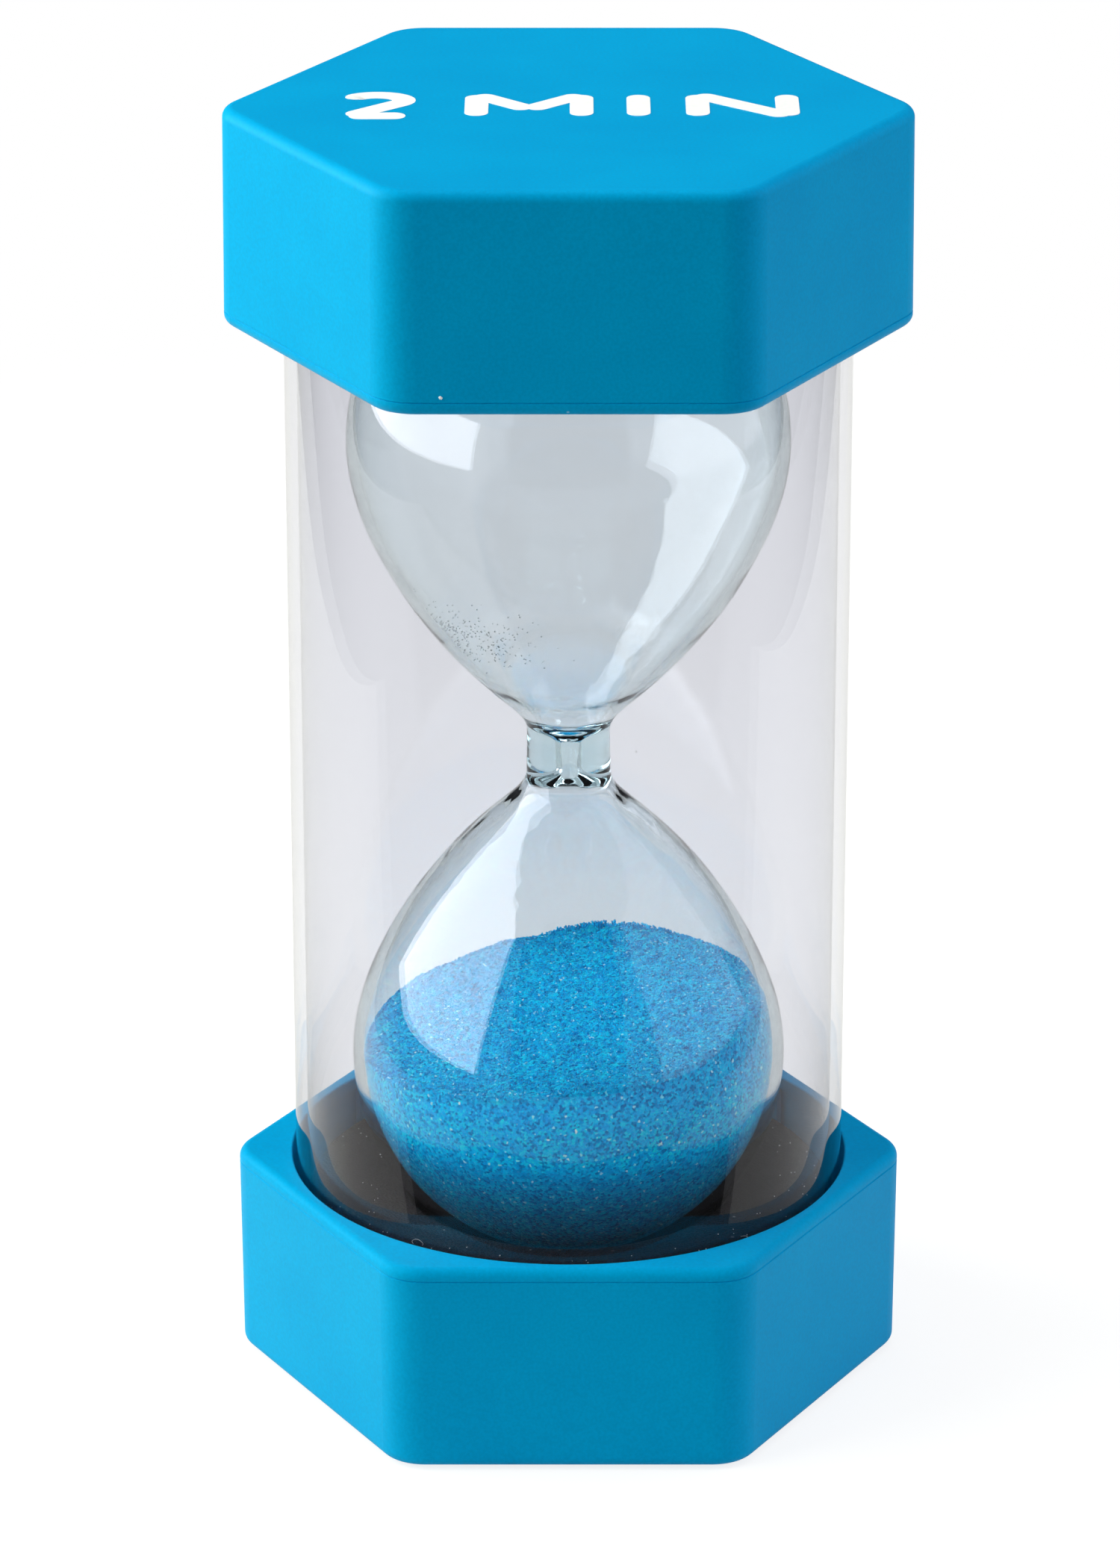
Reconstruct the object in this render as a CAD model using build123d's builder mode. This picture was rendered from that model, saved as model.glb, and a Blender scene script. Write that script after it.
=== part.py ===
"""Two-minute sand timer: a glass vessel with sand, in a clear barrel between two hexagonal caps.

Millimetres, +Z up. The origin is the centre of the bottom cap's resting face, on the common axis
of barrel, vessel and caps. Two flats of each hexagon face -Y and +Y, two corners point to -X and +X.
The two ends are the same mouldings and foams, so each is drawn once on a seat plane: the plane of
its closed face, whose normal points to the middle of the timer.
"""

from build123d import *
from math import cos, radians, sqrt, tan
import os

# Overall
OVERALL_HEIGHT = 161.925  # 6 3/8 in, closed face to closed face
CAP_ACROSS_FLATS = 73.2  # at the open end, which is the widest

# Caps: a cup and the rim plate that closes it
CAP_HEIGHT = 26.75  # with the rim plate
CAP_DRAFT = 0.5  # degrees, each side leans in towards the closed face
CAP_CORNER_RADIUS = 5.85  # upright corners of the hexagon
CAP_WALL = 1.6
CAP_CLOSED_WALL = 2.4
CAP_CLOSED_EDGE_RADIUS = 1.3
RIM_THICKNESS = 1.6
RIM_EDGE_RADIUS = 1.2
RIM_HOLE_EDGE_RADIUS = 0.25
RIM_AT_FLATS = 1.94  # what the round hole leaves of the rim at the middle of each flat
SEAM_CHAMFER = 0.12  # on both sides of the joint, so that it shows as a fine line
COLLAR_WALL = 1.4
COLLAR_DEPTH = 7.0
COLLAR_FIT = 0.1  # between the collar and the flats of the cup
COLLAR_WINDOW = 11.0  # the collar stops at each flat, where it would be too thin to mould
LOCATING_RING_WALL = 1.2
LOCATING_RING_HEIGHT = 5.0
LOCATING_RING_FIT = 0.2  # between the ring and the bore of the barrel
CORNER_RIB_WALL = 1.4
CORNER_RIB_GAP = 0.3  # to the barrel inside and to the collar above

# Barrel: the clear tube
BARREL_WALL = 1.5
BARREL_END_PLAY = 0.2  # lengthways, so that the caps can be pressed home
BARREL_HOLE_CLEARANCE = 0.46  # to the hole in each rim plate, all round

# Foam: a pad under the tip of each bulb and a ring round it
FOAM_PAD_THICKNESS = 10.8
FLOOR_RECESS = 4.35  # from the rim down to the face of the ring
FOAM_CLEARANCE = 0.3  # to the plastic round it
FOAM_BULB_CLEARANCE = 0.25  # from the ring to the lower bulb
SEAT_GAP = 0.1  # between the tip of the lower bulb and its pad
TOP_GAP = 1.625  # between the tip of the upper bulb and its pad, room for the plug

# Glass vessel: distances are from the middle of the neck
BULB_CLEARANCE = 5.8  # from each bulb to the bore of the barrel
GLASS_WALL = 1.3
NECK_RADIUS = 5.15
NECK_HALF_LENGTH = 2.6
BORE_RADIUS = 1.0
BORE_HALF_LENGTH = 1.6
# The shoulder between neck and bulb, as shares of the way out to the bulb's centre and radius
OUTER_SHOULDER = ((0.118, 0.134), (0.305, 0.452), (0.599, 0.797))
INNER_SHOULDER = (
    (0.052, 0.088),
    (0.130, 0.199),
    (0.217, 0.337),
    (0.341, 0.523),
    (0.503, 0.714),
    (0.759, 0.923),
)

# Filling hole in the tip of the upper bulb, and its plug
FILLER_HOLE_RADIUS = 3.5
PLUG_FIT = 0.1
PLUG_SHANK_LENGTH = 2.6
PLUG_HEAD_RADIUS = 5.2
PLUG_HEAD_HEIGHT = 1.0
PLUG_HEAD_GAP = 0.05

# Sand
SAND_LEVEL = 45.2  # height of its surface on the axis, above the resting face
SAND_SLOPE_X = 0.13  # it lies higher at +X
SAND_SLOPE_Y = 0.03
SAND_CLEARANCE = 0.1  # to the glass

# Worked out from the above
HOLE_RADIUS = CAP_ACROSS_FLATS / 2 - RIM_AT_FLATS
BARREL_RADIUS = HOLE_RADIUS - BARREL_HOLE_CLEARANCE
BARREL_BORE_RADIUS = BARREL_RADIUS - BARREL_WALL
SEAM_HEIGHT = CAP_HEIGHT - RIM_THICKNESS
PAD_TOP = CAP_CLOSED_WALL + FOAM_PAD_THICKNESS
RING_TOP = CAP_HEIGHT - FLOOR_RECESS
BULB_RADIUS = BARREL_BORE_RADIUS - BULB_CLEARANCE
VESSEL_LENGTH = OVERALL_HEIGHT - 2 * PAD_TOP - SEAT_GAP - TOP_GAP
BULB_CENTRE = VESSEL_LENGTH / 2 - BULB_RADIUS  # where each bulb is widest
NECK_MIDDLE = PAD_TOP + SEAT_GAP + VESSEL_LENGTH / 2
LOWER_CENTRE = NECK_MIDDLE - BULB_CENTRE
UPPER_CENTRE = NECK_MIDDLE + BULB_CENTRE
FOAM_HOLE_RADIUS = sqrt(BULB_RADIUS**2 - (LOWER_CENTRE - RING_TOP) ** 2) + FOAM_BULB_CLEARANCE
PLUG_SEAT = UPPER_CENTRE + sqrt(BULB_RADIUS**2 - FILLER_HOLE_RADIUS**2) + PLUG_HEAD_GAP

BOTTOM_SEAT = Plane.XY
TOP_SEAT = Plane(origin=(0, 0, OVERALL_HEIGHT), x_dir=(1, 0, 0), z_dir=(0, 0, -1))


def half_flats(height):
    """From the axis to a flat of the cap's outside, at this height above its closed face."""
    return CAP_ACROSS_FLATS / 2 - (CAP_HEIGHT - height) * tan(radians(CAP_DRAFT))


def shoulder(start_radius, start_height, end_radius, shares):
    """Points from the neck to the widest ring of a bulb, as (radius, distance from the neck)."""
    reach, rise = end_radius - start_radius, BULB_CENTRE - start_height
    between = [(start_radius + out * reach, start_height + up * rise) for up, out in shares]
    return [(start_radius, start_height), *between, (end_radius, BULB_CENTRE)]


def half_bulb(points, radius, side):
    """Half the section of one bulb, from the neck's middle to the tip; side is 1 above, -1 below."""
    start_radius = points[0][0]
    with BuildSketch(Plane.XZ) as section:
        with BuildLine():
            outline = [(r, NECK_MIDDLE + side * distance) for r, distance in points]
            Polyline((0, NECK_MIDDLE), (start_radius, NECK_MIDDLE), outline[0])
            Spline(outline, tangents=[(0, side), (0, side)])
            CenterArc((0, NECK_MIDDLE + side * BULB_CENTRE), radius, 0, side * 90)
            Line((0, NECK_MIDDLE + side * (BULB_CENTRE + radius)), (0, NECK_MIDDLE))
        make_face()
    return section.sketch


OUTER_POINTS = shoulder(NECK_RADIUS, NECK_HALF_LENGTH, BULB_RADIUS, OUTER_SHOULDER)
INNER_POINTS = shoulder(BORE_RADIUS, BORE_HALF_LENGTH, BULB_RADIUS - GLASS_WALL, INNER_SHOULDER)
SAND_POINTS = [(radius - SAND_CLEARANCE, distance) for radius, distance in INNER_POINTS]

os.makedirs("parts", exist_ok=True)

for end, seat in (("bottom", BOTTOM_SEAT), ("top", TOP_SEAT)):
    inward = Axis(seat.origin, seat.z_dir)

    # The hexagonal cup, with a ring that centres the barrel and a rib in each corner
    with BuildPart() as cap_shell:
        with BuildSketch(seat) as outline:
            RegularPolygon(half_flats(0), 6, major_radius=False)
            fillet(outline.vertices(), CAP_CORNER_RADIUS)
        extrude(amount=SEAM_HEIGHT, taper=-CAP_DRAFT)
        fillet(cap_shell.faces().sort_by(inward)[0].edges(), CAP_CLOSED_EDGE_RADIUS)
        chamfer(cap_shell.faces().sort_by(inward)[-1].edges(), SEAM_CHAMFER)
        with BuildSketch(seat.offset(CAP_CLOSED_WALL)) as hollow:
            RegularPolygon(half_flats(CAP_CLOSED_WALL) - CAP_WALL, 6, major_radius=False)
            fillet(hollow.vertices(), CAP_CORNER_RADIUS - CAP_WALL)
        extrude(amount=SEAM_HEIGHT - CAP_CLOSED_WALL, taper=-CAP_DRAFT, mode=Mode.SUBTRACT)
        with BuildSketch(seat.offset(CAP_CLOSED_WALL)):
            Circle(BARREL_BORE_RADIUS - LOCATING_RING_FIT)
            Circle(BARREL_BORE_RADIUS - LOCATING_RING_FIT - LOCATING_RING_WALL, mode=Mode.SUBTRACT)
        extrude(amount=LOCATING_RING_HEIGHT)
        rib_start = BARREL_RADIUS + CORNER_RIB_GAP
        rib_end = (half_flats(CAP_CLOSED_WALL) - CAP_CORNER_RADIUS) / cos(radians(30)) + CAP_CORNER_RADIUS
        rib_length = rib_end - CAP_WALL / 2 - rib_start
        with BuildSketch(seat.offset(CAP_CLOSED_WALL)):
            with PolarLocations(rib_start + rib_length / 2, 6):
                Rectangle(rib_length, CORNER_RIB_WALL)
        extrude(amount=SEAM_HEIGHT - COLLAR_DEPTH - CORNER_RIB_GAP - CAP_CLOSED_WALL)
    cap_shell.part.label = f"{end}_cap_shell"
    export_step(cap_shell.part, f"parts/{end}_cap_shell.step")

    # The rim plate, with a collar of six arcs that fits inside the cup
    with BuildPart() as rim_plate:
        with BuildSketch(seat.offset(SEAM_HEIGHT)) as outline:
            RegularPolygon(half_flats(SEAM_HEIGHT), 6, major_radius=False)
            fillet(outline.vertices(), CAP_CORNER_RADIUS + SEAM_HEIGHT * tan(radians(CAP_DRAFT)))
        extrude(amount=RIM_THICKNESS, taper=-CAP_DRAFT)
        chamfer(rim_plate.faces().sort_by(inward)[0].edges(), SEAM_CHAMFER)
        fillet(rim_plate.faces().sort_by(inward)[-1].edges(), RIM_EDGE_RADIUS)
        with BuildSketch(seat.offset(SEAM_HEIGHT - COLLAR_DEPTH)):
            Circle(HOLE_RADIUS + COLLAR_WALL)
            RegularPolygon(
                half_flats(SEAM_HEIGHT - COLLAR_DEPTH) - CAP_WALL - COLLAR_FIT,
                6,
                major_radius=False,
                mode=Mode.INTERSECT,
            )
            with PolarLocations(HOLE_RADIUS + COLLAR_WALL / 2, 6, start_angle=30):
                Rectangle(2 * COLLAR_WALL, COLLAR_WINDOW, mode=Mode.SUBTRACT)
        extrude(amount=COLLAR_DEPTH)
        with BuildSketch(seat.offset(SEAM_HEIGHT - COLLAR_DEPTH)):
            Circle(HOLE_RADIUS)
        extrude(amount=COLLAR_DEPTH + RIM_THICKNESS, mode=Mode.SUBTRACT)
        rim_circles = rim_plate.edges().filter_by(GeomType.CIRCLE).group_by(inward)[-1]
        fillet(rim_circles.sort_by(SortBy.RADIUS)[-1], RIM_HOLE_EDGE_RADIUS)
    rim_plate.part.label = f"{end}_rim_plate"
    export_step(rim_plate.part, f"parts/{end}_rim_plate.step")

    # The foam pad behind the tip of the bulb, inside the locating ring
    with BuildPart() as foam_pad:
        with BuildSketch(seat.offset(CAP_CLOSED_WALL)):
            Circle(BARREL_BORE_RADIUS - LOCATING_RING_FIT - LOCATING_RING_WALL - FOAM_CLEARANCE)
        extrude(amount=FOAM_PAD_THICKNESS)
    foam_pad.part.label = f"{end}_foam_pad"
    export_step(foam_pad.part, f"parts/{end}_foam_pad.step")

    # The foam ring round the bulb, the dark floor that shows inside the barrel
    with BuildPart() as foam_ring:
        with BuildSketch(seat.offset(PAD_TOP)):
            Circle(BARREL_BORE_RADIUS - FOAM_CLEARANCE)
            Circle(FOAM_HOLE_RADIUS, mode=Mode.SUBTRACT)
        extrude(amount=RING_TOP - PAD_TOP)
    foam_ring.part.label = f"{end}_foam_ring"
    export_step(foam_ring.part, f"parts/{end}_foam_ring.step")

# The clear tube, standing on the closed wall of the bottom cap
with BuildPart() as barrel:
    with BuildSketch(Plane.XY.offset(CAP_CLOSED_WALL)):
        Circle(BARREL_RADIUS)
        Circle(BARREL_BORE_RADIUS, mode=Mode.SUBTRACT)
    extrude(amount=OVERALL_HEIGHT - 2 * CAP_CLOSED_WALL - BARREL_END_PLAY)
barrel.part.label = "barrel"
export_step(barrel.part, "parts/barrel.step")

# The blown vessel: both bulbs are turned about the axis, then both hollows are taken out of them
with BuildPart() as glass_vessel:
    for points, radius, mode in (
        (OUTER_POINTS, BULB_RADIUS, Mode.ADD),
        (INNER_POINTS, BULB_RADIUS - GLASS_WALL, Mode.SUBTRACT),
    ):
        for side in (1, -1):
            revolve(half_bulb(points, radius, side), axis=Axis.Z, mode=mode)
    with BuildSketch(Plane.XY.offset(UPPER_CENTRE)):
        Circle(FILLER_HOLE_RADIUS)
    extrude(amount=BULB_RADIUS, mode=Mode.SUBTRACT)
glass_vessel.part.label = "glass_vessel"
export_step(glass_vessel.part, "parts/glass_vessel.step")

# The stopper in the filling hole
with BuildPart() as filler_plug:
    with BuildSketch(Plane.XY.offset(PLUG_SEAT)):
        Circle(PLUG_HEAD_RADIUS)
    extrude(amount=PLUG_HEAD_HEIGHT)
    fillet(filler_plug.edges().sort_by(Axis.Z)[-1], PLUG_HEAD_HEIGHT / 2)
    with BuildSketch(Plane.XY.offset(PLUG_SEAT)):
        Circle(FILLER_HOLE_RADIUS - PLUG_FIT)
    extrude(amount=-PLUG_SHANK_LENGTH)
filler_plug.part.label = "filler_plug"
export_step(filler_plug.part, "parts/filler_plug.step")

# The sand, which fills the lower bulb up to a sloping surface
with BuildPart() as sand:
    section = half_bulb(SAND_POINTS, BULB_RADIUS - GLASS_WALL - SAND_CLEARANCE, -1)
    revolve(section, axis=Axis.Z)
    surface = Plane(origin=(0, 0, SAND_LEVEL), z_dir=(-SAND_SLOPE_X, -SAND_SLOPE_Y, 1))
    split(bisect_by=surface, keep=Keep.BOTTOM)
sand.part.label = "sand"
export_step(sand.part, "parts/sand.step")
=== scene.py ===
# %% [markdown]
# # A two-minute sand timer, made with numpy surfaces
#
# A classroom sand timer is a blown glass vessel with coloured sand, held by foam inside a clear
# plastic barrel, with a six-sided plastic cap on each end. The mechanical model gives the places
# and sizes. This script gives every piece its fine shape and its finish.

# %% Load the model and keep its box
import math

import bpy
import numpy as np
from mathutils import Matrix, Vector


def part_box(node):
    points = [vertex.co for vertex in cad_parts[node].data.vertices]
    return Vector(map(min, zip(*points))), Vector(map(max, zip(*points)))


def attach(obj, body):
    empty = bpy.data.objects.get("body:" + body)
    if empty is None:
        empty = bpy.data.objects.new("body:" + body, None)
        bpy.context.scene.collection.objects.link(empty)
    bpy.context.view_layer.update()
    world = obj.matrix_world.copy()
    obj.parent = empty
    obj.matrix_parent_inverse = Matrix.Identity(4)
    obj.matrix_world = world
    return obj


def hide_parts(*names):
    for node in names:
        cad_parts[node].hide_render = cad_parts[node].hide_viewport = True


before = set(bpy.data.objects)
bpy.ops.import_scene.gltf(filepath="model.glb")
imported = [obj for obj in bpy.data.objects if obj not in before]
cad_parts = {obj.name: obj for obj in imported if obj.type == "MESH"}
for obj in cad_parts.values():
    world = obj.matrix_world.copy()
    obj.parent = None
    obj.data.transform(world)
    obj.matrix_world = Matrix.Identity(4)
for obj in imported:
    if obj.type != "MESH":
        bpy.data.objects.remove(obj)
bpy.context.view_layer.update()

MM = 0.001


# %% [markdown]
# ## Sizes that every piece shares
#
# Each solid of the mechanical model sits where it belongs, so its lowest and highest corners say
# where the finer piece goes. Only the things a box can't tell, such as wall thicknesses, are
# written down here.

# %% Read the places from the model
barrel_low, barrel_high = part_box("barrel")
vessel_low, vessel_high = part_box("glass_vessel")
foam_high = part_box("bottom_foam_ring")[1]
cap_low, cap_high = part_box("top_cap_shell")

BARREL_RADIUS = barrel_high.x
BARREL_WALL = 1.5 * MM
GLASS_WALL = 1.3 * MM
BULB_RADIUS = vessel_high.x
INSIDE_RADIUS = BULB_RADIUS - GLASS_WALL
FILLER_RADIUS = 3.5 * MM
LOWER_CENTRE = vessel_low.z + BULB_RADIUS
UPPER_CENTRE = vessel_high.z - math.sqrt(BULB_RADIUS**2 - FILLER_RADIUS**2)
NECK_MIDDLE = (LOWER_CENTRE + UPPER_CENTRE) / 2
TOP_FACE = cap_high.z
print(f"bulbs of {2 * BULB_RADIUS / MM:.1f} mm at {LOWER_CENTRE / MM:.1f} and {UPPER_CENTRE / MM:.1f} mm")

# %% [markdown]
# ## Camera
#
# The timer is seen from the front and a little above, with a long lens, so its upright edges
# stay almost parallel. The small shift puts the timer a hair to the right of the middle. The
# camera stands this far back and this high, in metres, and looks down by the tilt, in degrees.

# %% Place the camera
CAMERA_BACK, CAMERA_HEIGHT, CAMERA_TILT = 0.7906, 0.38463, 21.352

lens = bpy.data.cameras.new("camera")
lens.lens = 158.28
lens.sensor_width = 36
lens.shift_x = -0.0054
camera = bpy.data.objects.new("camera", lens)
camera.location = (0, -CAMERA_BACK, CAMERA_HEIGHT)
camera.rotation_euler = (math.radians(90 - CAMERA_TILT), 0, 0)
bpy.context.scene.collection.objects.link(camera)
bpy.context.scene.camera = camera
bpy.context.scene.view_settings.view_transform = "Standard"

# %% [markdown]
# ## Surfaces from numpy
#
# Almost every piece here is a skin over rings: a profile is turned round the axis, or carried
# along a path, and gives one closed ring of points for each step. Neighbouring rings are joined
# by quads. A ring that ends the skin is closed by a fan of triangles to one centre point. A skin
# whose volume comes out negative is inside out, so its faces are turned round.


# %% Helpers that make a mesh out of rings
def ring_faces(rows, columns, loop=False):
    """Quads between each ring and the next; the last column joins the first, and with loop the
    last ring joins the first ring too."""
    row = np.arange(rows if loop else rows - 1)[:, None]
    column = np.arange(columns)[None, :]
    after, beside = (row + 1) % rows, (column + 1) % columns
    here, above = row * columns, after * columns
    corners = (here + column, here + beside, above + beside, above + column)
    return np.stack([np.broadcast_to(c, (len(row), columns)) for c in corners], -1).reshape(-1, 4)


def skin(rings, loop=False, first=None, last=None):
    """A closed skin over rings of shape (rows, columns, 3). first and last are the centre points
    that close its two ends. Returns points, quads and triangles."""
    rows, columns = rings.shape[:2]
    points, triangles = [rings.reshape(-1, 3)], []
    column = np.arange(columns)
    for centre, start in ((first, 0), (last, (rows - 1) * columns)):
        if centre is None:
            continue
        middle = np.full(columns, rows * columns + len(points) - 1)
        fan = np.stack([middle, start + (column + 1) % columns, start + column], -1)
        triangles.append(fan if start == 0 else fan[:, ::-1])
        points.append(np.array([centre], float))
    triangles = np.concatenate(triangles) if triangles else np.zeros((0, 3), int)
    return np.concatenate(points), ring_faces(rows, columns, loop), triangles


def outward(points, quads, triangles):
    """Turns the faces round if the volume inside them, summed over wedges to the origin, is negative."""
    wedges = np.concatenate([quads[:, [0, 1, 2]], quads[:, [0, 2, 3]], triangles])
    a, b, c = points[wedges].transpose(1, 0, 2)
    if np.einsum("ij,ij->", a, np.cross(b, c)) < 0:
        quads, triangles = quads[:, ::-1], triangles[:, ::-1]
    return points, quads, triangles


def new_piece(name, shape, material, smooth=True):
    """Puts points, quads and triangles into a mesh with foreach_set, as a piece of the timer."""
    points, quads, triangles = outward(*shape)
    corners = np.concatenate([quads.ravel(), triangles.ravel()]).astype(np.int32)
    mesh = bpy.data.meshes.new(name)
    mesh.vertices.add(len(points))
    mesh.vertices.foreach_set("co", points.astype(np.float32).ravel())
    mesh.loops.add(len(corners))
    mesh.loops.foreach_set("vertex_index", corners)
    sizes = np.concatenate([np.full(len(quads), 4), np.full(len(triangles), 3)])
    mesh.polygons.add(len(sizes))
    mesh.polygons.foreach_set("loop_start", (np.cumsum(sizes) - sizes).astype(np.int32))
    mesh.polygons.foreach_set("use_smooth", np.full(len(sizes), smooth))
    mesh.update(calc_edges=True)
    mesh.validate()
    mesh.materials.append(material)
    piece = bpy.data.objects.new(name, mesh)
    bpy.context.scene.collection.objects.link(piece)
    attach(piece, "root")
    print(f"{name}: {len(points)} points, {2 * len(quads) + len(triangles)} triangles")
    return piece


def polar(radius, angle, height):
    """Points at this radius and angle round the axis, and at this height."""
    parts = np.broadcast_arrays(radius * np.cos(angle), radius * np.sin(angle), height)
    return np.stack(parts, -1)


def full_turn(columns):
    """Evenly spaced angles round the axis, without the last one, which is the first again."""
    return np.linspace(0, 2 * np.pi, columns, endpoint=False)


def turned(radii, heights, columns):
    """Rings of a turned piece: each profile point (radius, height) runs once round the axis."""
    rows = len(radii)
    return polar(np.reshape(radii, (rows, -1)), full_turn(columns), np.reshape(heights, (rows, -1)))


# %% [markdown]
# ## Smooth randomness
#
# Sand, foam and blown glass are never perfectly even. One kind of noise serves all of them:
# random numbers sit on the corners of a cubic lattice, and each point takes a soft blend of the
# eight corners round it. It depends only on the place, so it's the same on every run.


# %% A helper for noise
def lattice_noise(points, size, seed):
    """Random numbers from -1 to 1 on a cubic lattice of this cell size, blended with the smooth
    weight 3t^2 - 2t^3 between the eight corners of each point's cell."""
    places = points / size
    cell = np.floor(places).astype(np.int64)
    t = places - cell
    t = t * t * (3 - 2 * t)
    total = np.zeros(points.shape[:-1])
    for corner in np.ndindex(2, 2, 2):
        x, y, z = np.moveaxis(cell + corner, -1, 0)
        mix = (x * 73856093 + y * 19349663 + z * 83492791 + seed * 2654435761) & 0xFFFFFFFF
        mix = ((mix ^ (mix >> 15)) * 2246822519) & 0xFFFFFFFF
        mix = ((mix ^ (mix >> 13)) * 3266489917) & 0xFFFFFFFF
        value = (mix ^ (mix >> 16)) / 2147483647.5 - 1
        weight = np.prod(np.where(np.array(corner) == 1, t, 1 - t), -1)
        total += weight * value
    return total


# %% [markdown]
# ## Finishes
#
# Each finish is a node material on Object coordinates, so it sits on the piece like the real
# surface does. A small class adds nodes and joins them, to keep each recipe short.


# %% Helpers for node materials
def linear(red, green, blue):
    """A colour as seen on a screen, 0 to 255 each, as the linear light that shaders want."""
    seen = np.array([red, green, blue]) / 255
    return (*np.where(seen <= 0.04045, seen / 12.92, ((seen + 0.055) / 1.055) ** 2.4), 1.0)


def grey(tone):
    """A grey of this linear tone."""
    return (tone, tone, tone, 1)


WHITE, BLACK = grey(1), grey(0)


class Recipe:
    """A material or world whose nodes are added one by one, each fed by numbers or other nodes."""

    def __init__(self, name, family=bpy.data.materials, output="OutputMaterial"):
        self.made = family.new(name)
        self.made.use_nodes = True
        self.tree = self.made.node_tree
        self.tree.nodes.clear()
        self.output = self.add(output)

    def add(self, kind, inputs=None, **settings):
        """Adds a node of this kind; inputs maps a socket's name or number to a value or an output."""
        node = self.tree.nodes.new("ShaderNode" + kind)
        for key, value in settings.items():
            setattr(node, key, value)
        for socket, value in (inputs or {}).items():
            if isinstance(value, bpy.types.NodeSocket):
                self.tree.links.new(value, node.inputs[socket])
            else:
                node.inputs[socket].default_value = value
        return node

    def place(self):
        """The Object coordinates of the shaded point, in metres."""
        return self.add("TexCoord").outputs["Object"]

    def ramp(self, factor, stops):
        """A colour ramp over factor, with stops as (position, colour)."""
        node = self.add("ValToRGB", {"Fac": factor})
        elements = node.color_ramp.elements
        while len(elements) < len(stops):
            elements.new(0.5)
        for element, (position, colour) in zip(elements, stops):
            element.position, element.color = position, colour
        return node.outputs["Color"]

    def noise(self, place, scale, detail):
        """Cloudy noise from 0 to 1 over the place, with this many repeats to the metre."""
        inputs = {"Vector": place, "Scale": scale, "Detail": detail}
        return self.add("TexNoise", inputs).outputs["Fac"]

    def mixed(self, factor, one, two, way="MIX"):
        """Two colours mixed by a factor."""
        inputs = {"Factor": factor, 6: one, 7: two}
        return self.add("Mix", inputs, data_type="RGBA", blend_type=way).outputs[2]

    def times(self, one, two):
        """One colour times another."""
        return self.mixed(1.0, one, two, "MULTIPLY")

    def either(self, factor, one, two):
        """Two shader nodes mixed by a factor."""
        return self.add("MixShader", {"Fac": factor, 1: one.outputs[0], 2: two.outputs[0]})

    def bump(self, height, strength, distance, **below):
        """The normal of a surface that rises with the height by a distance in metres."""
        inputs = {"Strength": strength, "Distance": distance, "Height": height, **below}
        return self.add("Bump", inputs).outputs["Normal"]

    def specks(self, place, scale, spot, rare, most):
        """How much of a speck lies here: a spot in the middle of a Voronoi cell, which fades between
        the two distances of spot, in the few cells whose own number is above those of rare."""
        cells = self.add("TexVoronoi", {"Vector": place, "Scale": scale})
        round_spot = self.ramp(cells.outputs["Distance"], [(spot[0], WHITE), (spot[1], BLACK)])
        chosen_few = self.ramp(cells.outputs["Color"], [(rare[0], BLACK), (rare[1], grey(most))])
        return self.add("Math", {0: round_spot, 1: chosen_few}, operation="MULTIPLY").outputs[0]

    def spread(self, factor, low, high):
        """Stretches a factor of 0 to 1 to the range from low to high."""
        return self.add("MapRange", {"Value": factor, "To Min": low, "To Max": high}).outputs["Result"]

    def share(self, value, start, end):
        """How far a value is on its way from start to end, from 0 to 1."""
        inputs = {"Value": value, "From Min": start, "From Max": end}
        return self.add("MapRange", inputs).outputs["Result"]

    def coordinate(self, axis):
        """One of the Object coordinates."""
        return self.add("SeparateXYZ", {"Vector": self.place()}).outputs[axis]

    def finish(self, shader):
        """Joins the shader node to the output and returns the material or world."""
        self.tree.links.new(shader.outputs[0], self.output.inputs["Surface"])
        return self.made


# %% [markdown]
# ### Moulded cap plastic
#
# The caps are moulded in a bright cyan-blue ABS. It's satin: a fine spark texture on the mould
# breaks up its gloss. The colour is nearly even, with a faint cloudiness from the pigment, a fine
# speckle and some dust. Three noises of different grain and a scatter of specks give these.


# %% Cap plastic
def cap_plastic():
    """Satin blue plastic: pigment clouds, fine speckle, sparse specks, spark-texture bump."""
    r = Recipe("satin blue plastic")
    place = r.place()
    clouds = r.noise(place, 60.0, 3.0)
    speckle = r.noise(place, 2600.0, 2.0)
    pigment = r.ramp(clouds, [(0.3, linear(0, 150, 207)), (0.7, linear(0, 156, 212))])
    grain = r.ramp(speckle, [(0.35, grey(0.95)), (0.65, grey(1.04))])
    dusty = r.specks(place, 330.0, (0.045, 0.07), (0.93, 0.96), 0.6)
    spark = r.bump(r.noise(place, 5200.0, 2.0), 0.25, 0.03 * MM)
    return r.finish(r.add("BsdfPrincipled", {
        "Base Color": r.mixed(dusty, r.times(pigment, grain), linear(150, 205, 232)),
        "Roughness": r.spread(speckle, 0.42, 0.52),
        "Normal": r.bump(clouds, 0.2, 0.4 * MM, Normal=spark),
        "Specular IOR Level": 0.08,
        "Specular Tint": (0.1, 0.7, 1.0, 1),
    }))


# %% [markdown]
# ### Clear barrel plastic
#
# The barrel is a clear extruded tube, a millimetre and a half thick. A wall so thin bends sight
# very little, so it's made as a film that lets most light straight through, with the plastic's
# faint lavender tint, and mirrors a share that grows towards grazing angles. Schlick's rule gives
# it: 0.04 face on, and the fifth power of how far the surface is turned away for the rest.


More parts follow.
